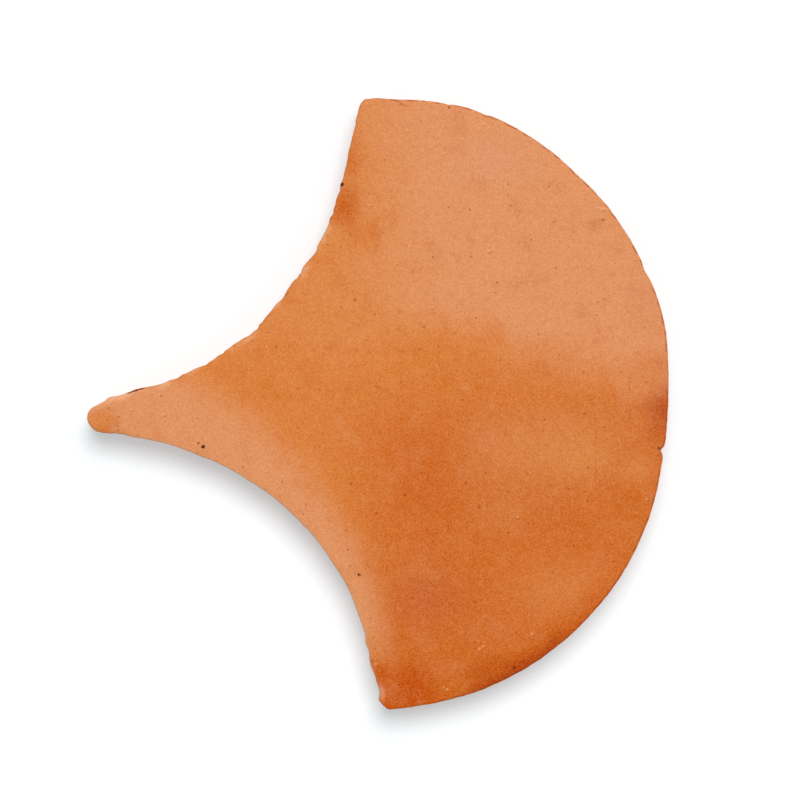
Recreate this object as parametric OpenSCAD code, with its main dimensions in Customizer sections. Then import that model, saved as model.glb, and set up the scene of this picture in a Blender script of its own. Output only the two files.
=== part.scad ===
// Fish-scale floor tile of fired clay, moulded and cut by hand, 150 mm wide.
// It lies on its bed face: the origin is on that face, under the centre of the round head,
// +X runs from the tail to the head, +Y is the left side seen that way, and +Z is up.

/* [Body] */
// Height from the bed face to the wear face
thickness = 15; // [8:0.5:30]
// Lean of the edges, which makes the bed face a little smaller than the wear face, in degrees
edge_draft = 1.5; // [0:0.25:4]

/* [Head] */
// Radius of the round head
head_r = 76.7; // [60:0.1:100]
// Direction of the flattened stretch at the head's front, in degrees from +X
front_flat_turn = -10; // [-30:1:30]
// How far that stretch lies inside the round head
front_flat_depth = 1.7; // [0.4:0.1:4]
// Radius of that stretch
front_flat_r = 105; // [95:1:300]
// Direction of the flattened stretch before the left corner
left_flat_turn = 88; // [75:1:92]
// How far that stretch lies inside the round head
left_flat_depth = 2.4; // [0.4:0.1:4]
// Radius of that stretch
left_flat_r = 200; // [110:1:400]
// Direction of the flattened stretch before the right corner
right_flat_turn = -90; // [-95:1:-75]
// How far that stretch lies inside the round head
right_flat_depth = 0.9; // [0.4:0.1:4]
// Radius of that stretch
right_flat_r = 110; // [100:1:400]

/* [Flanks] */
// Radius of the hollow left flank, where the head of the next tile nests
left_flank_r = 71.5; // [58:0.5:90]
// Radius of the hollow right flank
right_flank_r = 70; // [58:0.5:90]
// How far behind the head's centre the flanks' centres lie
flank_back = 70; // [56:0.5:86]

/* [Tail] */
// Width of the tail where the flanks come closest
tail_w = 8; // [6:0.5:16]
// From the head's centre to the tip of the tail
tail_reach = 67.5; // [54:0.5:84]
// Length of the rounded end of the tail
tail_nose = 3; // [1.5:0.1:3.6]

/* [Edges] */
// Radius of the worn upper edge
wear_edge_r = 1.2; // [0.6:0.1:2]
// Width of the bevel round the bed face
bed_edge = 0.5; // [0.3:0.1:1]

/* [Corners] */
// Direction that the worn left corner faces, in degrees from +X
left_corner_turn = 152; // [142:1:153]
// How far the left corner is worn back
left_corner_wear = 3.4; // [2:0.1:4.5]
// Direction that the worn right corner faces, in degrees from +X
right_corner_turn = -133; // [-140:1:-128]
// How far the right corner is worn back
right_corner_wear = 0.8; // [0.5:0.1:2]

/* [Chip] */
// From the middle of the front's flattened stretch to the chip in its edge
chip_place = -4.5; // [-12:0.5:12]
// Radius of the chip
chip_r = 1.9; // [1.2:0.1:3]
// How far the chip bites into the edge
chip_bite = 1.1; // [0.5:0.1:1.5]

/* [Hidden] */
$fn = 120;

fired_clay = [0.85, 0.51, 0.30];
cut_past = 0.5;        // how far a cut runs past the two faces
cut_clear = 2;         // how far a cut runs past the clay that it takes away
arris_turn = 72;       // part of a quarter round that the worn upper edge covers
arris_steps = 3;

LEFT = 1;
RIGHT = -1;

arris_rise = wear_edge_r * sin(arris_turn);
bed_inset = (thickness - arris_rise - bed_edge) * tan(edge_draft);

function along(turn, distance) = distance * [cos(turn), sin(turn)];

// Where the line from a through b comes to height z
function run_on(a, b, z) = b + (b - a) * (z - b.y) / (b.y - a.y);

// The edge of the tile in section, from the bed face up, as [distance inside the outline, height]
edge_line = concat(
    [[bed_inset + bed_edge, 0], [bed_inset, bed_edge]],
    [for (i = [0:arris_steps])
        let (a = arris_turn * i / arris_steps)
        [wear_edge_r * (1 - cos(a)), thickness - arris_rise + wear_edge_r * sin(a)]]
);
last = len(edge_line) - 1;

// The same line, run on past both faces, for the cuts
cut_line = concat(
    [run_on(edge_line[1], edge_line[0], -cut_past)],
    [for (i = [1:last - 1]) edge_line[i]],
    [run_on(edge_line[last - 1], edge_line[last], thickness + cut_past)]
);

// The flattened stretches of the head, as [direction, depth, radius], and where their centres lie
front_flat = [front_flat_turn, front_flat_depth, front_flat_r];
left_flat = [left_flat_turn, left_flat_depth, left_flat_r];
right_flat = [right_flat_turn, right_flat_depth, right_flat_r];
head_flats = [front_flat, left_flat, right_flat];
function flat_centre(flat) = along(flat[0], head_r - flat[1] - flat[2]);

// Where the flanks' centres lie, and the width that a flank leaves the tail at a place along it
function flank_r(side) = side == LEFT ? left_flank_r : right_flank_r;
function flank_centre(side) = [-flank_back, side * (tail_w / 2 + flank_r(side))];
function flank_y(side, x) =
    abs(flank_centre(side).y) - sqrt(pow(flank_r(side), 2) - pow(x + flank_back, 2));

// The rounded end of the tail runs through its tip and through a point on each flank
nose_x = tail_nose - tail_reach;
nose_half_w = (flank_y(LEFT, nose_x) + flank_y(RIGHT, nose_x)) / 2;
nose_y = (flank_y(LEFT, nose_x) - flank_y(RIGHT, nose_x)) / 2;
nose_r = (pow(nose_half_w, 2) + pow(tail_nose, 2)) / (2 * tail_nose);

// A sharp corner is where a flank meets the head: the point on both circles, on the head's side
function meet(c1, r1, c2, r2, side) =
    let (
        d = norm(c2 - c1),
        u = (c2 - c1) / d,
        a = (d * d + r1 * r1 - r2 * r2) / (2 * d),
        h = sqrt(r1 * r1 - a * a)
    )
    c1 + a * u + side * h * [u.y, -u.x];
function corner(side) =
    let (flat = side == LEFT ? left_flat : right_flat)
    meet(flat_centre(flat), flat[2], flank_centre(side), flank_r(side), side);

// The round head, with its edge
module disc() {
    rotate_extrude()
        polygon(concat(
            [[0, 0]],
            [for (p = edge_line) [head_r - p.x, p.y]],
            [[0, thickness]]
        ));
}

// Cuts away what lies outside a circle, for an edge that bulges
module trim_outside(r, reach, turn = 360) {
    rotate([0, 0, -turn / 2])
        rotate_extrude(angle = turn)
            polygon(concat(
                [[r + reach, -cut_past]],
                [for (p = cut_line) [r - p.x, p.y]],
                [[r + reach, thickness + cut_past]]
            ));
}

// Cuts away what lies inside a circle, for an edge that is hollow
module trim_inside(r) {
    rotate_extrude()
        polygon(concat(
            [[0, -cut_past]],
            [for (p = cut_line) [r + p.x, p.y]],
            [[0, thickness + cut_past]]
        ));
}

// Cuts away what lies beyond a straight line that faces +X
module trim_beyond(reach, length) {
    rotate([90, 0, 0])
        linear_extrude(height = length, center = true)
            polygon(concat(
                [[reach, -cut_past]],
                [for (p = cut_line) [-p.x, p.y]],
                [[reach, thickness + cut_past]]
            ));
}

// The head, with its flattened stretches cut one after the other
module head(cuts = len(head_flats)) {
    if (cuts == 0) {
        disc();
    } else {
        flat = head_flats[cuts - 1];
        difference() {
            head(cuts - 1);
            translate(flat_centre(flat))
                trim_outside(flat[2], flat[1] + cut_clear);
        }
    }
}

module flank_cut(side) {
    translate(flank_centre(side))
        trim_inside(flank_r(side));
}

module tail_cut() {
    translate([nose_r - tail_reach, nose_y])
        rotate([0, 0, 180])
            trim_outside(nose_r, head_r - tail_reach + nose_r, 180);
}

module corner_cut(side, turn, wear) {
    translate(corner(side))
        rotate([0, 0, turn])
            translate([-wear, 0, 0])
                trim_beyond(wear + cut_clear, 8 * wear + 2 * cut_clear);
}

module chip() {
    turn = front_flat_turn + chip_place / front_flat_r * 180 / PI;
    rim = flat_centre(front_flat) + along(turn, front_flat_r);
    translate([rim.x, rim.y, thickness])
        rotate([0, 0, turn])
            translate([chip_r - chip_bite, 0, 0])
                sphere(chip_r);
}

// The head with both flanks hollowed, one after the other
module winged() {
    difference() {
        difference() {
            head();
            flank_cut(LEFT);
        }
        flank_cut(RIGHT);
    }
}

// The same with the tail rounded and both corners worn
module worn() {
    difference() {
        difference() {
            difference() {
                winged();
                tail_cut();
            }
            corner_cut(LEFT, left_corner_turn, left_corner_wear);
        }
        corner_cut(RIGHT, right_corner_turn, right_corner_wear);
    }
}

module tile() {
    color(fired_clay)
        difference() {
            worn();
            chip();
        }
}

tile();
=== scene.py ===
"""A hand-cut fish-scale tile of fired terracotta, lying on a white floor and seen from straight above."""

import logging
import math
from collections.abc import Sequence
from dataclasses import dataclass, field
from enum import Enum
from typing import Any

import bpy
import numpy as np
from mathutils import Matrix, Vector, noise
from mathutils.geometry import delaunay_2d_cdt


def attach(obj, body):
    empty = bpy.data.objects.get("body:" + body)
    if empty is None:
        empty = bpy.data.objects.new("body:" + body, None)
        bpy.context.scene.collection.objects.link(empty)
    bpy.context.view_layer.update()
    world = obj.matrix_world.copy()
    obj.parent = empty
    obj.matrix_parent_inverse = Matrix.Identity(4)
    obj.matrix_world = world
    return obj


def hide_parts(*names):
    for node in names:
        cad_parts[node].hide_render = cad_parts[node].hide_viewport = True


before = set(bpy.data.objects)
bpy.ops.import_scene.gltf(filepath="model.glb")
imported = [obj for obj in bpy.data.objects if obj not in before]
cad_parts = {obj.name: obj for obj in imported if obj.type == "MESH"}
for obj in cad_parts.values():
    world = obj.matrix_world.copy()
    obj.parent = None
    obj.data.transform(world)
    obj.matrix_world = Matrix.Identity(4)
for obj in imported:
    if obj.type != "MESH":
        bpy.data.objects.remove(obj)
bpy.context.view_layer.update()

MM = 0.001
WHITE = (1.0, 1.0, 1.0, 1.0)

log = logging.getLogger("terracotta_tile")

Point = tuple[float, float]


def smooth_min(a: np.ndarray, b: np.ndarray, width: float) -> np.ndarray:
    """Takes the lower of two fields and rounds the crease between them.

    Args:
        a: One field.
        b: The other field.
        width: How far apart the fields are where the rounding ends.

    Returns:
        The lower field, rounded.
    """
    h = np.maximum(width - np.abs(a - b), 0.0) / width
    return np.minimum(a, b) - h * h * width / 4


def along(turn: float, distance: float) -> Point:
    """Returns the point at that distance from the origin, in the direction turn in degrees."""
    return distance * math.cos(math.radians(turn)), distance * math.sin(math.radians(turn))


def hills(x: np.ndarray, y: np.ndarray, size: float, seed: float, octaves: int = 2,
          z: np.ndarray | float = 0.0) -> np.ndarray:
    """Soft random relief.

    Args:
        x: Places along X, in mm.
        y: Places along Y, in mm.
        size: Width of the largest hills, in mm.
        seed: Which relief this is.
        octaves: How many finer layers it has.
        z: Places along Z, in mm.

    Returns:
        The height at each place, from about -1 to 1.
    """
    return np.array([
        noise.fractal(Vector((px / size, py / size, seed + pz / size)), 1.0, 2.0, octaves)
        for px, py, pz in zip(x, y, np.broadcast_to(z, x.shape), strict=True)
    ])


def ramp(value: np.ndarray, start: float, end: float) -> np.ndarray:
    """Returns 0 where the value is at start or before it, 1 from end on, and a straight rise between."""
    return np.clip((value - start) / (end - start), 0.0, 1.0)


def bell(x: np.ndarray, y: np.ndarray, place: Point, radius: float, sharpness: float = 1.0) -> np.ndarray:
    """A soft bump round one place.

    Args:
        x: Places along X, in mm.
        y: Places along Y, in mm.
        place: The middle of the bump, in mm.
        radius: How far it reaches, in mm.
        sharpness: How fast it falls off.

    Returns:
        Its height at each place, 1 in the middle.
    """
    far = np.hypot(x - place[0], y - place[1])
    return np.exp(-((far / radius) ** 2) * sharpness)


class Light(Enum):
    """The lights of the studio, and the share of the whole light that each gives."""

    SKY = 0.43
    KEY = 0.61


@dataclass(frozen=True)
class Ripple:
    """One layer of random waviness.

    Attributes:
        height: How high its waves are, in mm or as a share.
        size: Width of its largest waves, in mm.
        seed: Which waves they are.
    """

    height: float
    size: float
    seed: float

    def at(self, x: np.ndarray, y: np.ndarray) -> np.ndarray:
        """Returns the height of the waves at each place."""
        return self.height * hills(x, y, self.size, self.seed)


@dataclass(frozen=True)
class Flat:
    """A stretch of the head that was cut flatter than the round of it.

    Attributes:
        turn: Direction from the head's centre, in degrees.
        inset: How far it lies inside the round, in mm.
        radius: Radius of the stretch, in mm.
    """

    turn: float
    inset: float
    radius: float


@dataclass(frozen=True)
class Flank:
    """A hollow side, where the head of the next tile nests.

    Attributes:
        centre: Centre of its circle, in mm.
        radius: Radius of the circle, in mm.
    """

    centre: Point
    radius: float


@dataclass(frozen=True)
class WornCorner:
    """A corner that has been rubbed back to a slanted line.

    Attributes:
        place: A point on the line, in mm.
        facing: Direction that the line faces, in degrees.
        reach: How far the line runs on both sides of that point, in mm.
    """

    place: Point
    facing: float
    reach: float = 8.0


@dataclass(frozen=True)
class Dent:
    """A place where the outline is chipped in, or bulges out if bite is below 0.

    Attributes:
        place: Its middle, in mm.
        radius: How far it reaches, in mm.
        bite: How deep it is, in mm.
    """

    place: Point
    radius: float
    bite: float


@dataclass(frozen=True)
class Tint:
    """A colour as it is seen, each part from 0 to 255."""

    red: float
    green: float
    blue: float

    def linear(self) -> tuple[float, float, float, float]:
        """Returns the colour as Blender's sockets take it."""
        parts = []
        for value in (self.red, self.green, self.blue):
            c = value / 255
            parts.append(c / 12.92 if c <= 0.04045 else ((c + 0.055) / 1.055) ** 2.4)
        return parts[0], parts[1], parts[2], 1.0


@dataclass(frozen=True)
class Patch:
    """A soft-edged place on the face with a colour of its own, or a painted highlight.

    Attributes:
        place: Its middle, in mm.
        reach: Half its width along X and along Y, in mm.
        tint: Its colour.
        strength: How much of that colour shows in the middle.
        core: Share of its reach that has the whole colour.
    """

    place: Point
    reach: Point
    tint: Tint
    strength: float
    core: float = 0.0


@dataclass(frozen=True)
class Mark:
    """A pit in the face, a grain that stands out of it, or a painted shadow beside a grain.

    Attributes:
        place: Its middle, in mm.
        radius: Its size, in mm.
        relief: How high it stands, in mm, below 0 for a pit.
        tint: Its colour.
        strength: How much of that colour shows.
    """

    place: Point
    radius: float
    relief: float
    tint: Tint
    strength: float


@dataclass(frozen=True)
class Scratch:
    """A straight line on the face.

    Attributes:
        start: One end, in mm.
        end: The other end, in mm.
        width: Its width, in mm.
        tint: Its colour.
        strength: How much of that colour shows.
    """

    start: Point
    end: Point
    width: float
    tint: Tint
    strength: float


@dataclass
class Outline:
    """The outline of the tile: a round head with flatter stretches, two hollow flanks and a rounded tail.

    Attributes:
        head_radius: Radius of the head, in mm.
        flats: Its flatter stretches.
        flat_blend: Width over which they run into the round, in mm.
        flanks: The hollow sides, left and right.
        nose_centre: Centre of the tail's round end, in mm.
        nose_radius: Radius of that end, in mm.
        nose_length: How far it shapes the tail, in mm.
        nose_blend: Width of the rounding where it meets the flanks, in mm.
        corners: The worn corners.
        corner_round: Width of the rounding at each corner, in mm.
        corner_fade: How steeply a worn line gives way past its reach.
        dents: The chips and bulges of the edge.
        wobble: Waviness of the whole edge.
        crumble: More waviness, where the left flank has crumbled.
        tail_wobble: More waviness round the tail.
        crumbs: Bits broken out of the crumbled flank.
        crumb_depth: How much of their depth is left standing, in mm.
        rays: In how many directions the edge is looked for.
        halvings: How often each find is narrowed by half.
        step: Spacing of the points, in mm.
    """

    head_radius: float = 77.05
    flats: tuple[Flat, ...] = (
        Flat(turn=-10, inset=1.7, radius=103),
        Flat(turn=88, inset=2.65, radius=200),
        Flat(turn=-90, inset=0.8, radius=89),
    )
    flat_blend: float = 1.4
    flanks: tuple[Flank, ...] = (
        Flank(centre=(-69.6, 75.8), radius=71.5),
        Flank(centre=(-70.6, -74.0), radius=70.0),
    )
    nose_centre: Point = (-63.0, -0.1)
    nose_radius: float = 4.5
    nose_length: float = 8.0
    nose_blend: float = 0.6
    corners: tuple[WornCorner, ...] = (
        WornCorner(place=(1.1, 63.1), facing=163.3, reach=12.0),
        WornCorner(place=(4.9, 73.6), facing=137, reach=2.0),
        WornCorner(place=(0.7, -75.0), facing=-133),
    )
    corner_round: float = 0.4
    corner_fade: float = 1.5
    dents: tuple[Dent, ...] = tuple(Dent((x, y), radius, bite) for x, y, radius, bite in (
        (-15.0, 30.0, 5.5, -0.4), (-26.0, 18.5, 3.2, 0.8), (-36.6, 11.9, 4.6, 0.36),
        (-55.0, 6.2, 3.2, -0.45), (-65.5, 3.4, 2.2, 0.75), (-64.5, -3.4, 2.5, 0.35),
        (-61.0, -4.2, 1.0, 0.35), (-13.0, -33.5, 13.0, 0.38), (-6.5, 43.5, 8.0, 0.16),
        (25.0, 72.5, 9.0, 0.42), (75.3, 13.0, 4.5, -0.4), (69.2, -31.0, 6.5, -0.32),
        (33.0, -69.5, 14.0, -0.25), (71.2, 28.2, 2.6, 0.42), (73.4, -16.8, 0.8, 0.75),
        (-6.2, -45.0, 4.5, 0.32), (25.8, 71.6, 0.8, 0.3), (34.5, 68.4, 0.8, 0.3),
        (-58.9, -4.6, 0.9, 0.45), (-2.3, -59.6, 1.4, -0.5), (-2.4, -64.4, 2.4, -0.75),
        (0.2, -71.8, 1.8, 0.75), (-1.5, 53.2, 0.9, -0.3), (33.5, 69.0, 4.0, 0.25),
        (13.0, 73.8, 3.5, 0.22), (74.3, 19.0, 2.5, -0.2), (71.3, 29.8, 1.3, -0.25),
        (55.5, 52.5, 5.0, 0.25), (22.5, -73.0, 5.0, -0.2), (-40.5, -11.0, 3.5, -0.3),
        (-22.2, 22.2, 2.4, 0.2), (-23.5, -21.8, 3.0, 0.17), (-10.5, -37.5, 2.5, -0.05),
        (-0.3, -69.6, 2.6, 0.18), (-63.0, 4.0, 1.6, 0.4), (-48.5, 7.4, 2.5, 0.2),
        (-9.1, 37.5, 1.0, 0.35), (-12.0, 34.0, 1.6, -0.25), (-13.7, 31.4, 1.0, 0.35),
        (-16.2, 30.2, 1.5, -0.2), (-18.2, 26.3, 1.1, 0.3),
    ))
    wobble: tuple[Ripple, ...] = (
        Ripple(0.08, 16.0, 3.1), Ripple(0.08, 3.0, 7.7), Ripple(0.06, 1.3, 2.2),
    )
    crumble: tuple[Ripple, ...] = (Ripple(0.18, 4.2, 11.3), Ripple(0.14, 2.1, 17.3))
    tail_wobble: tuple[Ripple, ...] = (Ripple(0.12, 4.2, 11.3), Ripple(0.12, 2.1, 17.3))
    crumbs: Ripple = Ripple(0.9, 2.6, 41.2)
    crumb_depth: float = 0.225
    rays: int = 14000
    halvings: int = 24
    step: float = 0.55

    def depth(self, x: np.ndarray, y: np.ndarray) -> np.ndarray:
        """Tells how far places lie inside the outline.

        Args:
            x: Places along X, in mm.
            y: Places along Y, in mm.

        Returns:
            The depth at each place, in mm, below 0 outside.
        """
        head = self.head_radius - np.hypot(x, y)
        for flat in self.flats:
            cx, cy = along(flat.turn, self.head_radius - flat.inset - flat.radius)
            head = smooth_min(head, flat.radius - np.hypot(x - cx, y - cy), self.flat_blend)
        body = head
        for corner in self.corners:
            fx, fy = along(corner.facing, 1.0)
            line = (corner.place[0] - x) * fx + (corner.place[1] - y) * fy
            beside = np.abs((corner.place[0] - x) * fy - (corner.place[1] - y) * fx)
            line = line + self.corner_fade * np.maximum(beside - corner.reach, 0.0)
            body = smooth_min(body, line, self.corner_round)
        for flank in self.flanks:
            hollow = np.hypot(x - flank.centre[0], y - flank.centre[1]) - flank.radius
            body = smooth_min(body, hollow, self.corner_round)
        nx, ny = self.nose_centre
        nose = self.nose_radius - np.hypot(np.minimum(x - nx, 0.0), y - ny) + np.maximum(x - nx, 0.0)
        return np.where(x < nx + self.nose_length, smooth_min(body, nose, self.nose_blend), body)

    def trace(self) -> np.ndarray:
        """Walks once round the outline, with the wobble of the hand that cut it.

        Returns:
            Points at an even spacing, in mm, counter-clockwise.
        """
        turn = np.linspace(-math.pi, math.pi, self.rays, endpoint=False) + 1e-4
        ray_x, ray_y = np.cos(turn), np.sin(turn)
        reach = np.arange(3.0, self.head_radius + 7.0, 0.5)
        inside = self.depth(np.outer(ray_x, reach), np.outer(ray_y, reach)) > 0
        first_out = np.argmin(inside, axis=1)
        low = reach[np.maximum(first_out - 1, 0)]
        high = reach[first_out]
        for _ in range(self.halvings):
            mid = (low + high) / 2
            keep = self.depth(mid * ray_x, mid * ray_y) > 0
            low = np.where(keep, mid, low)
            high = np.where(keep, high, mid)
        return self._cut_by_hand(self._even(np.column_stack([low * ray_x, low * ray_y])))

    def _even(self, loop: np.ndarray) -> np.ndarray:
        """Returns the closed loop with its points at an even spacing."""
        closed = np.vstack([loop, loop[:1]])
        length = np.concatenate([[0.0], np.cumsum(np.hypot(*np.diff(closed, axis=0).T))])
        count = int(length[-1] / self.step)
        at = np.linspace(0.0, length[-1], count, endpoint=False)
        return np.column_stack([np.interp(at, length, closed[:, k]) for k in (0, 1)])

    def normals(self, loop: np.ndarray) -> np.ndarray:
        """Returns the outward direction at each point of the closed loop."""
        ahead = np.roll(loop, -2, axis=0) - np.roll(loop, 2, axis=0)
        side = np.column_stack([ahead[:, 1], -ahead[:, 0]])
        return side / np.linalg.norm(side, axis=1)[:, None]

    def _cut_by_hand(self, loop: np.ndarray) -> np.ndarray:
        """Moves the loop by the cutter's wobble, the crumbled stretches and the chips.

        Args:
            loop: The even outline, in mm.

        Returns:
            The outline as it was really cut.
        """
        x, y = loop.T
        left_flank = ramp(y, 2.0, 10.0) * ramp(x, 8.0, 2.0)
        tail = ramp(x, -50.0, -58.0)
        wobble = sum(ripple.at(x, y) for ripple in self.wobble)
        wobble += left_flank * sum(ripple.at(x, y) for ripple in self.crumble)
        wobble += tail * sum(ripple.at(x, y) for ripple in self.tail_wobble)
        wobble -= left_flank * np.maximum(self.crumbs.at(x, y) - self.crumb_depth, 0.0)
        out = loop + self.normals(loop) * wobble[:, None]
        for dent in self.dents:
            out -= self.normals(out) * (dent.bite * bell(*out.T, dent.place, dent.radius))[:, None]
        return out


@dataclass
class ClayBody:
    """The tile's solid: wear face, worn edge, cut sides and bed face, as one closed mesh.

    Attributes:
        name: Name of the piece.
        outline: Its outline.
        thickness: Height that no point of the wear face passes, in mm.
        edge_radius: Usual radius of the worn edge, in mm.
        edge_range: Least and greatest radius of it, in mm.
        edge_ripple: How the radius varies along the edge, as a share of it.
        dent_wear: How much a dent adds to the radius, as a share of its bite.
        dent_spread: How much farther than the dent itself that reaches.
        side_lean: How far the sides lean in towards the bed, in degrees.
        bed_bevel: Width of the bevel round the bed face, in mm.
        face_drop: How far the wear face lies below the thickness, in mm.
        rim_drop: How far it eases down at its edge, in mm.
        rim_reach: How far from the edge it does so, in mm.
        face_relief: Its unevenness.
        face_grid: Spacing of its net, in mm.
        bed_grid: Spacing of the bed face's net, in mm.
        side_rows: Rows of points up the sides.
        side_rough: Depth of the sides' drag marks, in mm.
        edge_rows: Rows of points round the worn edge.
        marks: The pits and grains of the wear face, and the painted shadows beside the grains, which lie flat.
        mark_sharpness: How fast they fall off.
        mark_rings: Rings of points in each.
        mark_net: Outer ring, and where the even net begins, in radii of the mark.
        near_rim: How near the edge the distance from it is measured point by point, in mm.
    """

    name: str = "terracotta_tile"
    outline: Outline = field(default_factory=Outline)
    thickness: float = 15.0
    edge_radius: float = 0.75
    edge_range: Point = (0.55, 1.6)
    edge_ripple: Ripple = Ripple(0.35, 9.0, 15.9)
    dent_wear: float = 0.45
    dent_spread: float = 1.4
    side_lean: float = 1.5
    bed_bevel: float = 0.5
    face_drop: float = 0.14
    rim_drop: float = 0.16
    rim_reach: float = 2.2
    face_relief: tuple[Ripple, ...] = (
        Ripple(0.05, 34.0, 1.7), Ripple(0.022, 6.0, 5.2), Ripple(0.012, 1.6, 9.4),
    )
    face_grid: float = 0.58
    bed_grid: float = 1.3
    side_rows: int = 15
    side_rough: float = 0.26
    edge_rows: int = 5
    marks: tuple[Mark, ...] = ()
    mark_sharpness: float = 1.6
    mark_rings: int = 4
    mark_net: Point = (1.7, 1.9)
    near_rim: float = 4.0

    def build(self) -> bpy.types.Object:
        """Builds the whole solid.

        Returns:
            The tile as one object, in metres in the row frame.
        """
        rim = self.outline.trace()
        count = len(rim)
        rows = self._rows(rim)
        points = np.vstack(rows)
        faces: list[tuple[int, ...]] = []
        for row in range(len(rows) - 1):
            base, above = row * count, (row + 1) * count
            for i in range(count):
                j = (i + 1) % count
                faces.append((base + i, base + j, above + j, above + i))
        top = self._fill(rows[-1][:, :2], self.face_grid, marks=self.marks)
        bed = self._fill(rows[0][:, :2], self.bed_grid, marks=())
        for fill, row, flipped in ((top, len(rows) - 1, False), (bed, 0, True)):
            inner, triangles = fill
            start = len(points)
            height = self.face_height(*inner.T) if not flipped else self.bed_height(*inner.T)
            points = np.vstack([points, np.column_stack([inner, height])])
            for triangle in triangles:
                ids = tuple(row * count + k if k < count else start + k - count for k in triangle)
                faces.append(ids[::-1] if flipped else ids)
        mesh = bpy.data.meshes.new(self.name)
        mesh.from_pydata((points * MM).tolist(), [], faces)
        mesh.validate()
        mesh.shade_smooth()
        self._note_rim(mesh, rim)
        tile = bpy.data.objects.new(self.name, mesh)
        bpy.context.scene.collection.objects.link(tile)
        return tile

    def face_height(self, x: np.ndarray, y: np.ndarray) -> np.ndarray:
        """Tells how high the wear face is: nearly flat, eased down near its edge, with its pits and grains.

        Args:
            x: Places along X, in mm.
            y: Places along Y, in mm.

        Returns:
            The height at each place, in mm.
        """
        depth = np.maximum(self.outline.depth(x, y), 0.0)
        height = self.thickness - self.face_drop - self.rim_drop * np.exp(-depth / self.rim_reach)
        height += sum(ripple.at(x, y) for ripple in self.face_relief)
        for mark in self.marks:
            height += mark.relief * bell(x, y, mark.place, mark.radius, self.mark_sharpness)
        return np.minimum(height, self.thickness)

    def bed_height(self, x: np.ndarray, y: np.ndarray) -> np.ndarray:
        """Returns the height of the bed face, which lies flat but for its sandy unevenness."""
        return 0.12 * np.maximum(hills(x, y, 9.0, 21.4, octaves=3), 0.0)

    def _rows(self, rim: np.ndarray) -> list[np.ndarray]:
        """Carries the edge's section round the outline.

        Args:
            rim: The outline, in mm.

        Returns:
            The rows of points from the bed face up to the wear face.
        """
        out = self.outline.normals(rim)
        smooth = out.copy()
        for _ in range(3):
            smooth = (np.roll(smooth, 1, axis=0) + smooth * 2 + np.roll(smooth, -1, axis=0)) / 4
        smooth /= np.linalg.norm(smooth, axis=1)[:, None]
        wear = self.edge_radius * (1.0 + self.edge_ripple.at(*rim.T))
        for dent in self.outline.dents:
            spread = bell(*rim.T, dent.place, dent.radius * self.dent_spread)
            wear += self.dent_wear * abs(dent.bite) * spread
        wear = np.clip(wear, *self.edge_range)
        inner = rim - smooth * wear[:, None]
        top = self.face_height(*inner.T)
        lean = math.tan(math.radians(self.side_lean))
        shoulder = top - wear

        def side(inset: np.ndarray, z: np.ndarray, rough: float) -> np.ndarray:
            """Returns one row of the side, with its drag marks and torn pits."""
            drag = np.abs(hills(*rim.T, 2.6, 31.0, z=z * 0.25))
            drag = drag + 0.6 * np.abs(hills(*rim.T, 1.5, 8.8, z=z))
            torn = np.maximum(hills(*rim.T, 4.2, 51.0, z=z * 1.3) - 0.3, 0.0)
            shift = inset + rough * (drag + 2.2 * torn)
            return np.column_stack([rim - smooth * shift[:, None], z])

        rows = [side(lean * shoulder + self.bed_bevel, np.zeros(len(rim)), 0.0)]
        for k in range(self.side_rows):
            share = k / (self.side_rows - 1)
            z = self.bed_bevel + (shoulder - self.bed_bevel) * share
            rows.append(side(lean * (shoulder - z), z, self.side_rough * min(1.0, 4 * (1 - share))))
        for k in range(1, self.edge_rows):
            a = math.pi / 2 * k / self.edge_rows
            rows.append(np.column_stack([rim - smooth * (wear * (1 - math.cos(a)))[:, None],
                                         shoulder + wear * math.sin(a)]))
        rows.append(np.column_stack([inner, top]))
        return rows

    def _fill(self, ring: np.ndarray, grid: float,
              marks: Sequence[Mark]) -> tuple[np.ndarray, list[tuple[int, ...]]]:
        """Fills a closed ring with an even net of triangles.

        Args:
            ring: The ring's points, in mm.
            grid: Spacing of the net, in mm.
            marks: Pits and grains that get a finer net.

        Returns:
            The points inside the ring, and the triangles, which count the ring's points first.
        """
        low, high = ring.min(axis=0), ring.max(axis=0)
        xs = np.arange(low[0], high[0], grid)
        ys = np.arange(low[1], high[1], grid * math.sqrt(3) / 2)
        x, y = np.meshgrid(xs, ys)
        x = x + (np.arange(len(ys)) % 2)[:, None] * grid / 2
        places = np.column_stack([x.ravel(), y.ravel()])
        for mark in marks:
            far = np.hypot(places[:, 0] - mark.place[0], places[:, 1] - mark.place[1])
            places = places[far > mark.radius * self.mark_net[1]]
            rings = [[mark.place]]
            for k in range(1, self.mark_rings + 1):
                turn = np.arange(4 + 4 * k) * 2 * math.pi / (4 + 4 * k)
                r = mark.radius * self.mark_net[0] * k / self.mark_rings
                ring_x, ring_y = mark.place[0] + r * np.cos(turn), mark.place[1] + r * np.sin(turn)
                rings.append(np.column_stack([ring_x, ring_y]))
            places = np.vstack([places, *rings])
        places = places[self._clear_inside(places, ring, grid * 0.55)]
        count = len(ring)
        vertices = [Vector(p) for p in np.vstack([ring, places]).tolist()]
        edges = [(i, (i + 1) % count) for i in range(count)]
        got, _, faces, origins, _, _ = delaunay_2d_cdt(vertices, edges, [], 1, 1e-6)
        if len(got) != len(vertices):
            log.warning("the net changed its points: %d became %d", len(vertices), len(got))
        names = [o[0] for o in origins]
        triangles = []
        for face in faces:
            a, b, c = (names[k] for k in face)
            pa, pb, pc = vertices[a], vertices[b], vertices[c]
            turn = (pb.x - pa.x) * (pc.y - pa.y) - (pb.y - pa.y) * (pc.x - pa.x)
            triangles.append((a, b, c) if turn > 0 else (a, c, b))
        return places, triangles

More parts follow.
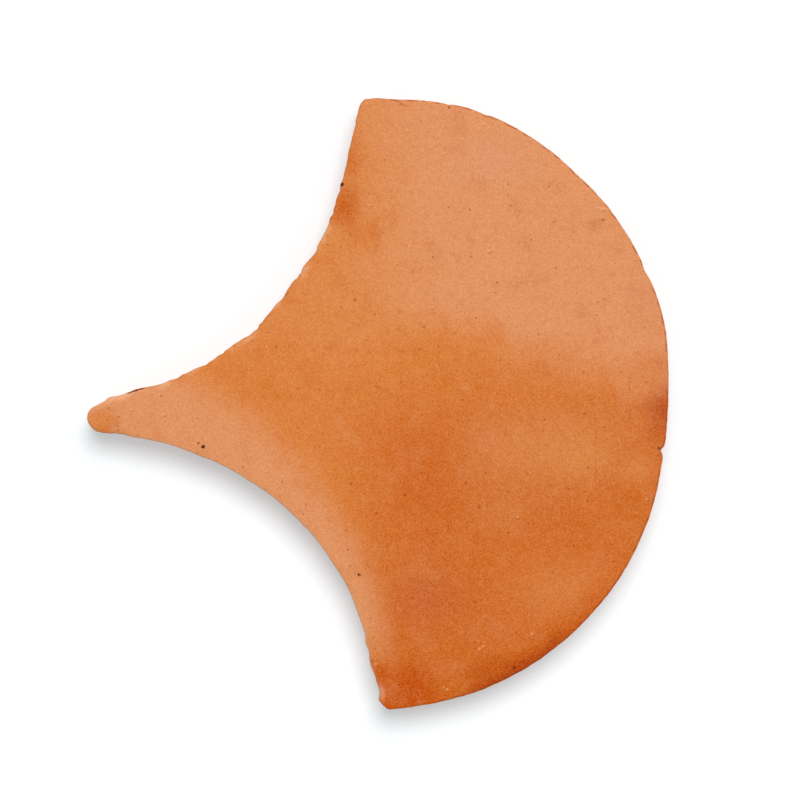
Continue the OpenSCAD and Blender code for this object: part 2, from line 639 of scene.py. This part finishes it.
    def _clear_inside(self, places: np.ndarray, ring: np.ndarray, margin: float) -> np.ndarray:
        """Tells which places lie inside the ring and clear of it.

        Args:
            places: The places, in mm.
            ring: The closed ring, in mm.
            margin: The least distance from the ring's points, in mm.

        Returns:
            True for each place that lies inside and clear.
        """
        inside = np.zeros(len(places), bool)
        x, y = places.T
        for (x1, y1), (x2, y2) in zip(ring, np.roll(ring, -1, axis=0), strict=True):
            crossed = (y1 > y) != (y2 > y)
            if crossed.any():
                at = x1 + (y - y1) * (x2 - x1) / (y2 - y1 if y2 != y1 else 1e-12)
                inside ^= crossed & (x < at)
        near = np.flatnonzero(inside & (self.outline.depth(x, y) < self.near_rim))
        inside[near[self._from_loop(x[near], y[near], ring) < margin]] = False
        return inside

    def _from_loop(self, x: np.ndarray, y: np.ndarray, ring: np.ndarray) -> np.ndarray:
        """Returns how far each place lies from the nearest point of the ring, in mm."""
        at_once = 400
        parts = []
        for k in range(0, len(x), at_once):
            dx, dy = (part[k:k + at_once, None] - ring[None, :, axis] for axis, part in enumerate((x, y)))
            parts.append(np.hypot(dx, dy).min(axis=1))
        return np.concatenate(parts) if parts else np.zeros(0)

    def _note_rim(self, mesh: bpy.types.Mesh, rim: np.ndarray) -> None:
        """Writes on each point of the mesh how far it lies inside the outline, in mm."""
        places = np.empty(len(mesh.vertices) * 3)
        mesh.vertices.foreach_get("co", places)
        x, y = (places.reshape(-1, 3)[:, :2] / MM).T
        far = np.maximum(self.outline.depth(x, y), 0.0)
        near = np.flatnonzero(far < self.near_rim)
        far[near] = self._from_loop(x[near], y[near], rim)
        note = mesh.attributes.new("rim", "FLOAT", "POINT")
        note.data.foreach_set("value", far.astype(np.float32))


class Graph:
    """The nodes of one material or world, made by a few plain methods."""

    def __init__(self, owner: bpy.types.Material | bpy.types.World) -> None:
        """Starts with no nodes in that material or world."""
        self.owner = owner
        owner.use_nodes = True
        self.tree = owner.node_tree
        self.tree.nodes.clear()

    def node(self, kind: str, settings: dict[str, Any] | None = None,
             inputs: dict[str | int, Any] | None = None) -> bpy.types.Node:
        """Adds a node.

        Args:
            kind: Blender's name for the type of node.
            settings: Properties of the node, set first.
            inputs: Values, tints or links for its sockets, by name or number.

        Returns:
            The node.
        """
        made = self.tree.nodes.new(kind)
        for name, value in (settings or {}).items():
            setattr(made, name, value)
        for name, value in (inputs or {}).items():
            if isinstance(value, Value):
                self.tree.links.new(value.socket, made.inputs[name])
            elif isinstance(value, bpy.types.NodeSocket):
                self.tree.links.new(value, made.inputs[name])
            else:
                made.inputs[name].default_value = value.linear() if isinstance(value, Tint) else value
        return made

    def value(self, socket: bpy.types.NodeSocket) -> "Value":
        """Wraps a socket, so that it can be used in sums."""
        return Value(self, socket)

    def mix(self, base: Any, top: Any, share: Any, blend: str = "MIX") -> bpy.types.NodeSocket:
        """Lays one colour over another.

        Args:
            base: The colour below, as a socket or a tint.
            top: The colour above.
            share: How much of it shows, as a number or a value.
            blend: How the two are mixed.

        Returns:
            The mixed colour's socket.
        """
        made = self.node("ShaderNodeMix", {"data_type": "RGBA", "blend_type": blend, "clamp_factor": True},
                         {0: share, 6: base, 7: top})
        return made.outputs[2]

    def vector(self, operation: str, a: Any, b: Any) -> bpy.types.NodeSocket:
        """Returns the result of Vector Math on two vectors."""
        made = self.node("ShaderNodeVectorMath", {"operation": operation}, {0: a, 1: b})
        return made.outputs["Value" if operation in ("DISTANCE", "DOT_PRODUCT") else "Vector"]

    def noise(self, place: Any, scale: float, detail: float = 2.0, roughness: float = 0.5) -> "Value":
        """Soft random values over the surface.

        Args:
            place: Where, in mm.
            scale: How many hills a mm holds.
            detail: How many finer layers it has.
            roughness: How strong the finer layers are.

        Returns:
            Values round 0.5.
        """
        made = self.node("ShaderNodeTexNoise", {"noise_dimensions": "3D"},
                         {"Vector": place, "Scale": scale, "Detail": detail, "Roughness": roughness})
        return self.value(made.outputs[0])

    def seen(self) -> "Value":
        """Returns 1 for what the camera, a gloss or glass shows, and 0 for light that bounces."""
        path = self.node("ShaderNodeLightPath")
        camera, glossy, clear = (
            self.value(path.outputs[name]) for name in ("Is Camera Ray", "Is Glossy Ray", "Is Transmission Ray")
        )
        return camera.higher(glossy).higher(clear)

    def step(self, value: "Value", low: float, high: float) -> "Value":
        """Turns a value into a mask.

        Args:
            value: The value.
            low: Where the mask is 0.
            high: Where the mask is 1.

        Returns:
            The mask, smooth between the two.
        """
        made = self.node("ShaderNodeMapRange", {"interpolation_type": "SMOOTHSTEP", "clamp": True},
                         {"Value": value, "From Min": min(low, high), "From Max": max(low, high),
                          "To Min": 0.0 if low < high else 1.0, "To Max": 1.0 if low < high else 0.0})
        return self.value(made.outputs[0])


class Value:
    """A number that varies over the surface, for use in plain sums."""

    def __init__(self, graph: Graph, socket: bpy.types.NodeSocket) -> None:
        """Wraps the socket of that graph."""
        self.graph = graph
        self.socket = socket

    def _sum(self, operation: str, first: Any, second: Any) -> "Value":
        """Adds a Math node for the operation on both numbers."""
        made = self.graph.node("ShaderNodeMath", {"operation": operation}, {0: first, 1: second})
        return Value(self.graph, made.outputs[0])

    def __add__(self, other: "Value | float") -> "Value":
        """Adds."""
        return self._sum("ADD", self, other)

    __radd__ = __add__

    def __sub__(self, other: "Value | float") -> "Value":
        """Takes other away."""
        return self._sum("SUBTRACT", self, other)

    def __rsub__(self, other: "Value | float") -> "Value":
        """Takes this away from other."""
        return self._sum("SUBTRACT", other, self)

    def __mul__(self, other: "Value | float") -> "Value":
        """Multiplies."""
        return self._sum("MULTIPLY", self, other)

    __rmul__ = __mul__

    def __truediv__(self, other: "Value | float") -> "Value":
        """Divides by other."""
        return self._sum("DIVIDE", self, other)

    def __rtruediv__(self, other: "Value | float") -> "Value":
        """Divides other by this."""
        return self._sum("DIVIDE", other, self)

    def __pow__(self, other: "Value | float") -> "Value":
        """Raises this to the power of other."""
        return self._sum("POWER", self, other)

    def higher(self, other: "Value | float") -> "Value":
        """Returns the higher of the two."""
        return self._sum("MAXIMUM", self, other)


class Skin:
    """The tile's surface: its places, the noises that fray what is laid on it, and its colour so far."""

    def __init__(self, g: Graph, base: Tint) -> None:
        """Makes the places, in mm, and the noises.

        Args:
            g: The material's graph.
            base: The colour that lies below all others.
        """
        self.g = g
        self.colour: Any = base
        coords = g.node("ShaderNodeTexCoord")
        self.place = g.vector("MULTIPLY", coords.outputs["Object"], (1000.0, 1000.0, 1000.0))
        axes = g.node("ShaderNodeSeparateXYZ", inputs={0: self.place})
        self.x, self.y, self.z = (g.value(axes.outputs[k]) for k in range(3))
        self.flat = g.vector("MULTIPLY", self.place, (1.0, 1.0, 0.0))
        self.rim = g.value(g.node("ShaderNodeAttribute", {"attribute_name": "rim"}).outputs["Fac"])
        shape = g.node("ShaderNodeNewGeometry")
        normal = g.node("ShaderNodeSeparateXYZ", inputs={0: shape.outputs["Normal"]})
        self.up = g.value(normal.outputs[2])
        self.cloud = g.noise(self.place, 0.045, 1.0, 0.4)
        self.drift = g.noise(self.place, 0.13, 3.0, 0.5)
        self.mottle = g.noise(self.place, 0.5, 2.0, 0.5)
        self.fine = g.noise(self.place, 3.0, 1.0, 0.6)

    def lay(self, tint: Tint, share: Any) -> None:
        """Lays that share of a tint over the colour so far."""
        self.colour = self.g.mix(self.colour, tint, share)


@dataclass(frozen=True)
class FiredClay:
    """Unglazed terracotta: its colours, its grain, its pits and scratches, and its matte finish.

    Attributes:
        pale: Where the kiln was coolest; straw, orange, deep, burnt and red_brown follow as it got hotter.
            red_brown also paints the shade inside pinholes and pits and the shadows beside grains.
        pit_shade: Painted shade inside pits and cracks, and in the holes of the sides.
        chalk_and_highlight: Broken and rubbed clay, and the painted highlight along the lower-left flank's
            edge.
        cut_side: The cut sides.
        bed_sand: The sanded bed face.
        gloss: Level of its reflections.
        grain: How far the fine grain moves red, green and blue.
        patches: Its soft patches of colour, one of them a painted highlight on the worn bottom corner.
        marks: Its pits and grains, with painted shade in the pits and a painted shadow beside each grain.
        scratches: Its scratches and drag lines, and a painted shadow strip along the tail's upper edge.
    """

    pale: Tint = Tint(222, 147, 98)
    straw: Tint = Tint(219, 137, 77)
    orange: Tint = Tint(216, 127, 60)
    deep: Tint = Tint(205, 107, 42)
    burnt: Tint = Tint(196, 91, 12)
    red_brown: Tint = Tint(170, 66, 4)
    pit_shade: Tint = Tint(60, 18, 8)
    chalk_and_highlight: Tint = Tint(244, 192, 146)
    cut_side: Tint = Tint(214, 130, 78)
    bed_sand: Tint = Tint(208, 136, 92)
    gloss: float = 0.1
    grain: tuple[float, float, float] = (0.31, 0.226, 0.094)
    patches: tuple[Patch, ...] = ()
    marks: tuple[Mark, ...] = ()
    scratches: tuple[Scratch, ...] = ()

    def material(self, name: str, outline: Outline) -> bpy.types.Material:
        """Makes the material.

        Args:
            name: Its name.
            outline: The tile's outline, for the places of its flanks.

        Returns:
            The material.
        """
        g = Graph(bpy.data.materials.new(name))
        skin = Skin(g, self.orange)
        self._lay_ground(skin, outline)
        self._lay_patches(skin)
        for cause, pale_end, burnt_end in ((skin.drift, 0.85, 0.15), (skin.mottle, 0.9, 0.1)):
            skin.lay(self.pale, g.step(cause, 0.5, pale_end) * 0.3)
            skin.lay(self.burnt, g.step(cause, 0.5, burnt_end) * 0.3)
        self._lay_rim(skin)
        pinholes = self._pinholes(skin)
        # Painted shade inside the pinholes, in red-brown.
        skin.lay(self.red_brown, pinholes * 0.45)
        self._lay_marks(skin)
        side_relief = self._lay_sides(skin)
        sand = g.node("ShaderNodeCombineXYZ", inputs={k: (skin.fine - 0.5) * self.grain[k] for k in range(3)})
        grainy = g.vector("ADD", skin.colour, sand.outputs[0])

        uneven = skin.fine + g.noise(skin.place, 0.8, 3.0, 0.6) * 0.5
        bump = g.node("ShaderNodeBump", inputs={
            "Strength": 0.6, "Distance": 0.0002, "Height": uneven - pinholes * 1.2 + side_relief,
        })
        shader = g.node("ShaderNodeBsdfPrincipled", inputs={
            "Base Color": g.vector("MAXIMUM", grainy, (0.0, 0.0, 0.0)),
            "Roughness": 0.78 + (skin.mottle - 0.5) * 0.2,
            "Specular IOR Level": self.gloss,
            "Normal": bump.outputs[0],
        })
        g.node("ShaderNodeOutputMaterial", inputs={"Surface": shader.outputs[0]})
        return g.owner

    def _lay_ground(self, skin: Skin, outline: Outline) -> None:
        """Lays the broad colours that the kiln gave the face.

        Args:
            skin: The tile's surface.
            outline: The tile's outline.
        """
        g, x, y = skin.g, skin.x, skin.y
        fray = (skin.cloud - 0.5) * 12.0 + (skin.drift - 0.5) * 1.6
        skin.lay(self.deep, g.step(y + fray, 12.0, -14.0) * g.step(x + fray, -18.0, 14.0) * 0.9)
        skin.lay(self.burnt, g.step(y + fray, -20.0, -75.0) * g.step(x, 46.0, 8.0) * 0.4)
        skin.lay(self.straw, g.step(y + fray, 8.0, 24.0) * 0.6)
        skin.lay(self.pale, g.step(y + x * 0.37 + fray, 17.5, 34.5) * g.step(x + fray * 0.6, -6.0, 24.0))
        flank = outline.flanks[1]
        from_flank = g.value(g.vector("DISTANCE", skin.flat, (*flank.centre, 0.0))) - flank.radius
        band = from_flank + (x + 10.0) * 0.25 + fray * 0.35
        skin.lay(self.pale, g.step(band, 15.0, 2.0) * g.step(y, -73.0, -50.0) * 0.95)

    def _lay_patches(self, skin: Skin) -> None:
        """Lays the soft patches over the face's colour.

        Args:
            skin: The tile's surface.
        """
        for patch in self.patches:
            dx = (skin.x - patch.place[0]) / patch.reach[0]
            dy = (skin.y - patch.place[1]) / patch.reach[1]
            far = (dx * dx + dy * dy) ** 0.5 + (skin.drift - 0.5) * 0.7
            skin.lay(patch.tint, skin.g.step(far, 1.25, patch.core) * patch.strength)

    def _lay_rim(self, skin: Skin) -> None:
        """Darkens the face along its lower-right and right edge, lays pale and dark bits on the crumbled left
        flank, and a painted highlight along the lower-left flank's edge.

        Args:
            skin: The tile's surface.
        """
        step, x, y, rim = skin.g.step, skin.x, skin.y, skin.rim
        frayed = rim + (skin.drift - 0.5) * 4.0 + (skin.mottle - 0.5) * 1.6
        # Darker burnt and red-brown bands along the lower-right edge, and broken red-brown bits along the right
        # edge's rounding.
        lower_right = step(x, 14.0, 30.0) * step(y, -38.0, -62.0)
        skin.lay(self.burnt, step(frayed, 7.5, 1.0) * lower_right * 0.85)
        skin.lay(self.red_brown, step(frayed, 3.2, 0.4) * lower_right * step(x, 56.0, 38.0) * 0.8)
        broken = step(skin.mottle, 0.44, 0.58)
        skin.lay(self.red_brown, step(rim, 0.75, 0.25) * step(x, 6.0, 16.0) * broken * 0.6)
        crumbled = step(x, 0.0, -10.0) * step(y, 1.0, 5.0)
        flaked = rim + (skin.mottle - 0.5) * 3.0
        light_bits, dark_bits = step(skin.drift, 0.42, 0.62), step(skin.drift, 0.45, 0.3) * broken
        skin.lay(self.chalk_and_highlight, step(flaked, 1.9, 0.3) * crumbled * light_bits * 0.5)
        skin.lay(self.red_brown, step(flaked, 1.2, 0.3) * crumbled * dark_bits * 0.45)
        # Painted highlight: a pale line along the lower-left flank's edge.
        lower_flank = step(x, 2.0, -3.0) * step(y, -3.0, -7.0)
        skin.lay(self.chalk_and_highlight, step(rim, 0.8, 0.3) * lower_flank * 0.25)

    def _pinholes(self, skin: Skin) -> Value:
        """Scatters tiny pinholes over the face.

        Args:
            skin: The tile's surface.

        Returns:
            Where the pinholes are.
        """
        g = skin.g
        cells = g.node("ShaderNodeTexVoronoi", {"voronoi_dimensions": "2D", "feature": "F1"},
                       {"Vector": skin.flat, "Scale": 0.2, "Randomness": 1.0})
        far = g.value(cells.outputs["Distance"]) * 5.0
        luck = g.value(g.node("ShaderNodeSeparateColor", inputs={0: cells.outputs["Color"]}).outputs[0])
        return g.step(far - luck * 0.14, 0.2, 0.02) * g.step(luck, 0.5, 0.9)

    def _lay_marks(self, skin: Skin) -> None:
        """Colours the pits, the grains and the scratches, each at its place with a ragged edge; the pits get
        painted shade, the grains painted shadows, and two scratches are a painted shadow strip.

        Args:
            skin: The tile's surface.
        """
        g = skin.g
        ragged = skin.fine - 0.5
        for scratch in self.scratches:
            start, end = (Vector((*point, 0.0)) for point in (scratch.start, scratch.end))
            line = end - start
            from_start = g.vector("SUBTRACT", skin.flat, tuple(start))
            share = g.value(g.vector("DOT_PRODUCT", from_start, tuple(line / line.length_squared)))
            share = g.value(g.node("ShaderNodeClamp", inputs={"Value": share}).outputs[0])
            steps = g.node("ShaderNodeCombineXYZ", inputs={0: share * line.x, 1: share * line.y})
            far = g.value(g.vector("DISTANCE", from_start, steps.outputs[0])) + ragged * scratch.width
            inside = g.step(far, scratch.width * 0.8, scratch.width * 0.2)
            skin.lay(scratch.tint, inside * scratch.strength)
        for mark in self.marks:
            far = g.value(g.vector("DISTANCE", skin.flat, (*mark.place, 0.0))) + ragged * mark.radius
            inside = g.step(far, mark.radius * 1.15, mark.radius * 0.45)
            skin.lay(mark.tint, inside * mark.strength)

    def _lay_sides(self, skin: Skin) -> Value:
        """Gives the cut sides and the bed face their own clay, with painted shade in the holes of the sides.

        Args:
            skin: The tile's surface.

        Returns:
            The relief of the sides.
        """
        g, place = skin.g, skin.place
        side = g.step(skin.up, 0.55, 0.15)
        bed = g.step(skin.up, -0.5, -0.9)
        streak = g.noise(g.vector("MULTIPLY", place, (1.0, 1.0, 0.3)), 1.0, 3.0, 0.65)
        broad = g.noise(place, 0.09, 2.0, 0.5)
        crumb = g.noise(place, 0.7, 4.0, 0.7)
        torn = g.step(g.noise(place, 0.22, 3.0, 0.6), 0.52, 0.6)
        cells = g.node("ShaderNodeTexVoronoi", {"feature": "F1"},
                       {"Vector": place, "Scale": 0.62, "Randomness": 1.0})
        hole = g.step(g.value(cells.outputs["Distance"]) + (skin.mottle - 0.5) * 0.7, 0.24, 0.12)
        foot = g.step(skin.z + (skin.mottle - 0.5) * 6.0, 5.0, -1.0)
        for tint, share in (
            (self.cut_side, side),
            (self.deep, side * g.step(broad, 0.42, 0.68) * 0.75),
            (self.red_brown, side * g.step(streak, 0.52, 0.8) * 0.45),
            (self.chalk_and_highlight, side * g.step(streak, 0.46, 0.2) * 0.22),
            (self.chalk_and_highlight, side * torn * g.step(crumb, 0.42, 0.6) * 0.4),
            (self.red_brown, side * torn * g.step(crumb, 0.46, 0.34) * 0.5),
            # Painted shade inside the holes of the sides.
            (self.pit_shade, side * hole * 0.45),
            (self.burnt, side * foot * 0.5),
            (self.bed_sand, bed),
            (self.chalk_and_highlight, bed * g.step(crumb, 0.54, 0.7) * 0.5),
        ):
            skin.lay(tint, share)
        return side * (streak * 2.0 + crumb * (torn * 3.0 + 1.0) - hole * 1.2)


@dataclass
class Studio:
    """The white floor, the soft light and the camera straight above.

    Attributes:
        view_width: Width of the floor that the camera sees at the wear face, in mm.
        view_centre: Place under the camera, in mm.
        view_turn: How far the camera is turned round, in degrees.
        view_height: Its height above the wear face, in mm.
        key_turn: Direction that the key light comes from, in degrees.
        key_rise: How high it stands, in degrees.
        key_softness: How wide it is, in degrees.
        floor_half: Half the floor's width, in metres.
        floor_paper: Brightness of the floor as it is seen, where it takes the shadow.
        floor_glow: Strength of its own light as it is seen, which keeps the shadow soft.
        floor_tint: Colour of that light, which evens out the warm bounce from the clay.
        sensor: Width of the camera's sensor, in mm.
    """

    view_width: float = 196.4
    view_centre: Point = (9.47, -0.36)
    view_turn: float = -3.5
    view_height: float = 1600.0
    key_turn: float = 73.0
    key_rise: float = 71.5
    key_softness: float = 27.0
    floor_half: float = 3.0
    floor_paper: float = 0.7
    floor_glow: float = 0.36
    floor_tint: tuple[float, float, float, float] = (0.76, 0.935, 0.995, 1.0)
    sensor: float = 36.0

    def lay_floor(self) -> None:
        """Lays the white floor, which keeps the tile's shadow."""
        mesh = bpy.data.meshes.new("floor")
        half = self.floor_half
        corners = [(-half, -half, 0), (half, -half, 0), (half, half, 0), (-half, half, 0)]
        mesh.from_pydata(corners, [], [(0, 1, 2, 3)])
        floor = bpy.data.objects.new("floor", mesh)
        bpy.context.scene.collection.objects.link(floor)
        g = Graph(bpy.data.materials.new("floor_white"))
        white = g.node("ShaderNodeBsdfDiffuse", inputs={"Color": WHITE})
        paper = g.node("ShaderNodeBsdfDiffuse", inputs={"Color": (*[self.floor_paper] * 3, 1.0)})
        glow = g.node("ShaderNodeEmission", inputs={"Color": self.floor_tint, "Strength": self.floor_glow})
        shown = g.node("ShaderNodeAddShader", inputs={0: paper.outputs[0], 1: glow.outputs[0]})
        both = g.node("ShaderNodeMixShader", inputs={0: g.seen(), 1: white.outputs[0], 2: shown.outputs[0]})
        g.node("ShaderNodeOutputMaterial", inputs={"Surface": both.outputs[0]})
        mesh.materials.append(g.owner)

    def light(self) -> None:
        """Sets the even sky, white where it is seen, and the soft key light."""
        g = Graph(bpy.data.worlds.new("studio_sky"))
        level = Light.SKY.value + g.seen() * (1.0 - Light.SKY.value)
        sky = g.node("ShaderNodeBackground", inputs={"Color": WHITE, "Strength": level})
        g.node("ShaderNodeOutputWorld", inputs={"Surface": sky.outputs[0]})
        scene = bpy.context.scene
        scene.world = g.owner
        lamp = bpy.data.lights.new("key", "SUN")
        rise = math.radians(self.key_rise)
        lamp.energy = Light.KEY.value * math.pi / math.sin(rise)
        lamp.angle = math.radians(self.key_softness)
        key = bpy.data.objects.new("key", lamp)
        turn = math.radians(self.key_turn)
        level_reach = math.cos(rise)
        toward = Vector((level_reach * math.cos(turn), level_reach * math.sin(turn), math.sin(rise)))
        key.rotation_euler = toward.to_track_quat("Z", "Y").to_euler()
        scene.collection.objects.link(key)

    def aim_camera(self, top: float) -> None:
        """Puts the camera straight above.

        Args:
            top: Height of the tile's wear face, in mm.
        """
        data = bpy.data.cameras.new("camera")
        data.sensor_width = self.sensor
        data.sensor_fit = "HORIZONTAL"
        data.lens = self.sensor * self.view_height / self.view_width
        data.clip_end = 50.0
        camera = bpy.data.objects.new("camera", data)
        camera.location = Vector((*self.view_centre, top + self.view_height)) * MM
        camera.rotation_euler = (0.0, 0.0, math.radians(self.view_turn))
        bpy.context.scene.collection.objects.link(camera)
        bpy.context.scene.camera = camera


def face_patches() -> tuple[Patch, ...]:
    """Returns the patches of colour that the kiln left on the face, and a painted highlight on the worn bottom
    corner.
    """
    clay = FiredClay()
    return (
        Patch((-6, 14), (16, 9), clay.straw, 0.4),
        Patch((16, 31), (12, 5), Tint(220, 140, 82), 0.4),
        Patch((46, -14), (27, 13), Tint(214, 130, 69), 0.85),
        Patch((49, 9), (15, 6), Tint(214, 128, 70), 0.55),
        Patch((43, -13), (14, 9), Tint(217, 135, 80), 0.35),
        Patch((53, -17), (10, 7), Tint(214, 131, 68), 0.8),
        Patch((40, 4), (20, 5), clay.deep, 0.35),
        Patch((14.5, -23), (9, 20), Tint(203, 102, 38), 0.75),
        Patch((30.5, -12.5), (6, 11), Tint(212, 127, 72), 0.6),
        Patch((34, -29), (12, 7), Tint(212, 124, 66), 0.55),
        Patch((44, -32), (11, 4.5), Tint(201, 103, 38), 0.5),
        Patch((13, -49), (11, 10), Tint(199, 101, 52), 0.75),
        Patch((46, -49), (15, 9), Tint(216, 128, 66), 0.65),
        Patch((63.5, -29.5), (5, 6), Tint(198, 104, 28), 0.5),
        Patch((67, -21), (6, 4.5), Tint(218, 134, 72), 0.6),
        Patch((59.8, 39.6), (2.6, 2.2), Tint(204, 122, 66), 0.6),
        Patch((36, 57), (14, 8), Tint(223, 150, 108), 0.8),
        Patch((70, 20), (7, 10), Tint(215, 138, 92), 0.6),
        Patch((70, 3), (8, 8), Tint(212, 122, 66), 0.5),
        Patch((3.0, 40), (6, 8), Tint(211, 117, 48), 0.6),
        Patch((0.6, 58.5), (3.2, 5.5), clay.deep, 0.9),
        Patch((-1.5, 47.5), (5, 6), clay.burnt, 0.85),
        Patch((73, -7), (9, 8), Tint(203, 108, 50), 0.5),
        Patch((75.2, -7.2), (7.2, 9.0), Tint(182, 76, 30), 0.85),
        Patch((7, -72), (10, 7.5), Tint(192, 80, 0), 1.0, core=0.2),
        Patch((20.5, -68.8), (3, 2), Tint(194, 98, 18), 0.6),
        Patch((32.5, -67.4), (3.5, 2.2), Tint(166, 62, 4), 0.6),
        Patch((14, -67), (4, 4), Tint(208, 112, 54), 0.5),
        Patch((19, -71.5), (6, 4), Tint(205, 104, 26), 0.6),
        Patch((0.8, -67.0), (2.4, 3.4), clay.burnt, 0.85),
        Patch((28.5, -69.5), (9, 4.5), clay.red_brown, 0.7),
        Patch((36.5, -66), (5, 3), clay.red_brown, 0.6),
        # Painted highlight on the worn bottom corner.
        Patch((0.4, -71.8), (1.4, 2.8), Tint(232, 166, 134), 0.6, core=0.2),
        Patch((-63.6, -0.9), (4.0, 3.7), Tint(194, 108, 52), 0.3, core=0.6),
        Patch((-64.2, -0.9), (3.4, 3.1), Tint(213, 126, 62), 0.85, core=0.5),
    )


def face_marks() -> tuple[Mark, ...]:
    """Returns the pits and the grains that can be told apart on the face, with painted shade in the pits and a
    painted shadow beside each grain.
    """
    clay = FiredClay()
    shade_brown = clay.red_brown
    # The pits and cracks are coloured dark or brown as painted shade inside them; the last three marks are flat
    # dark bits of the burnt edge.
    pits = tuple(Mark((x, y), radius, relief, tint, strength) for x, y, radius, relief, tint, strength in (
        (-39.5, -8.9, 0.55, -0.5, clay.pit_shade, 1.0), (-40.6, -7.9, 0.3, -0.3, clay.pit_shade, 0.7),
        (-0.1, 24.8, 0.42, -0.3, shade_brown, 0.6), (-20.1, 14.5, 0.3, -0.25, clay.pit_shade, 0.6),
        (16.5, 17.2, 0.38, -0.2, shade_brown, 0.5), (34.6, 7.9, 0.3, -0.2, shade_brown, 0.55),
        (-3.8, -20.2, 0.35, -0.25, shade_brown, 0.6), (1.9, -27.9, 0.35, -0.25, shade_brown, 0.6),
        (24.4, -21.8, 0.38, -0.3, shade_brown, 0.6), (27.2, -27.8, 0.38, -0.3, shade_brown, 0.6),
        (-3.2, -42.6, 0.45, -0.3, Tint(104, 40, 22), 0.9), (61.9, 40.7, 0.4, -0.2, shade_brown, 0.6),
        (-1.6, 53.3, 0.6, -0.2, clay.pit_shade, 1.0), (25.9, 70.6, 0.38, -0.2, clay.pit_shade, 0.6),
        (72.3, -16.1, 0.5, -0.2, clay.pit_shade, 0.65), (72.0, -17.9, 0.38, -0.2, clay.pit_shade, 0.35),
        (72.8, -17.4, 0.35, -0.2, clay.pit_shade, 0.7), (-15.4, 3.9, 0.32, -0.2, shade_brown, 0.55),
        (-3.4, 23.2, 0.26, -0.15, shade_brown, 0.4), (-4.3, 15.8, 0.26, -0.15, shade_brown, 0.4),
        (-2.7, 38.0, 0.3, -0.15, shade_brown, 0.4), (-62.0, 1.9, 0.36, -0.1, shade_brown, 0.4),
        (-60.2, -2.5, 0.36, -0.1, shade_brown, 0.4), (-62.4, -0.9, 0.3, -0.1, shade_brown, 0.3),
        (-58.9, -4.8, 0.35, -0.1, clay.pit_shade, 0.6), (-1.3, -63.9, 0.35, -0.1, clay.pit_shade, 0.5),
        (33.4, -67.6, 0.55, 0.0, Tint(120, 40, 10), 0.55), (31.6, -67.3, 0.4, 0.0, Tint(120, 40, 10), 0.45),
        (35.3, -66.4, 0.35, 0.0, Tint(120, 40, 10), 0.4),
    ))
    grains_and_shadows = []
    for (x, y), radius in (
        ((33.3, 34.8), 0.42), ((23.7, 59.3), 0.38), ((35.6, 52.4), 0.34), ((34.0, 66.0), 0.46),
        ((35.2, 65.0), 0.3), ((14.2, 37.2), 0.38), ((5.0, 47.9), 0.36), ((36.6, -30.8), 0.34),
        ((38.3, -59.7), 0.42), ((68.5, -28.3), 0.38), ((62.1, 43.4), 0.42), ((-56.7, 1.3), 0.4),
        ((-48.8, -0.4), 0.4), ((-49.5, 4.6), 0.36), ((-59.9, 0.2), 0.32), ((15.2, 65.5), 0.3),
        ((25.2, -62.6), 0.42), ((26.2, -62.0), 0.32), ((16.7, -72.0), 0.4), ((15.9, -71.4), 0.3),
        ((-0.4, -64.7), 0.36),
    ):
        # Painted shadow below and to the right of each grain, in brown.
        grains_and_shadows.append(Mark((x + 0.25, y - 0.4), radius, 0.0, shade_brown, 0.35))
        # The grain's pale colour: its own paler clay, and painted light on its lit top.
        grains_and_shadows.append(Mark((x, y), radius, 0.14, Tint(238, 178, 126), 0.5))
    return pits + tuple(grains_and_shadows)


def face_scratches() -> tuple[Scratch, ...]:
    """Returns the scratches and the drag lines on the face, and a painted shadow strip along the tail's upper
    edge.
    """
    clay = FiredClay()
    return (
        Scratch((57.2, -7.7), (56.1, -25.4), 0.3, clay.burnt, 0.35),
        Scratch((66.0, 2.1), (65.9, -1.4), 0.28, clay.red_brown, 0.28),
        Scratch((65.8, -5.2), (65.4, -8.5), 0.28, clay.red_brown, 0.28),
        Scratch((26.5, -31.7), (26.1, -39.0), 0.3, clay.red_brown, 0.3),
        Scratch((60.6, 43.9), (63.6, 43.2), 0.3, clay.chalk_and_highlight, 0.5),
        Scratch((12.0, 73.6), (15.5, 71.6), 0.3, clay.red_brown, 0.5),
        # Painted shadow: the dark strip on the tail's upper edge, where the side falls away.
        Scratch((-57.0, 5.5), (-53.6, 6.3), 0.5, Tint(120, 40, 16), 0.9),
        Scratch((-53.8, 6.3), (-50.4, 7.1), 0.3, Tint(150, 62, 30), 0.7),
    )


def main() -> None:
    """Builds the tile and its studio, one piece after the other."""
    logging.basicConfig(level=logging.INFO, format="%(name)s: %(message)s")
    bpy.context.scene.view_settings.view_transform = "Standard"

    body = ClayBody(marks=face_marks())
    tile = body.build()
    clay = FiredClay(patches=face_patches(), marks=face_marks(), scratches=face_scratches())
    tile.data.materials.append(clay.material("fired_clay", body.outline))
    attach(tile, "root")
    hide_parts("tile")
    log.info("tile: %d faces", len(tile.data.polygons))

    studio = Studio()
    studio.lay_floor()
    studio.light()
    studio.aim_camera(body.thickness)
    log.info("studio ready")


if __name__ == "__main__":
    main()
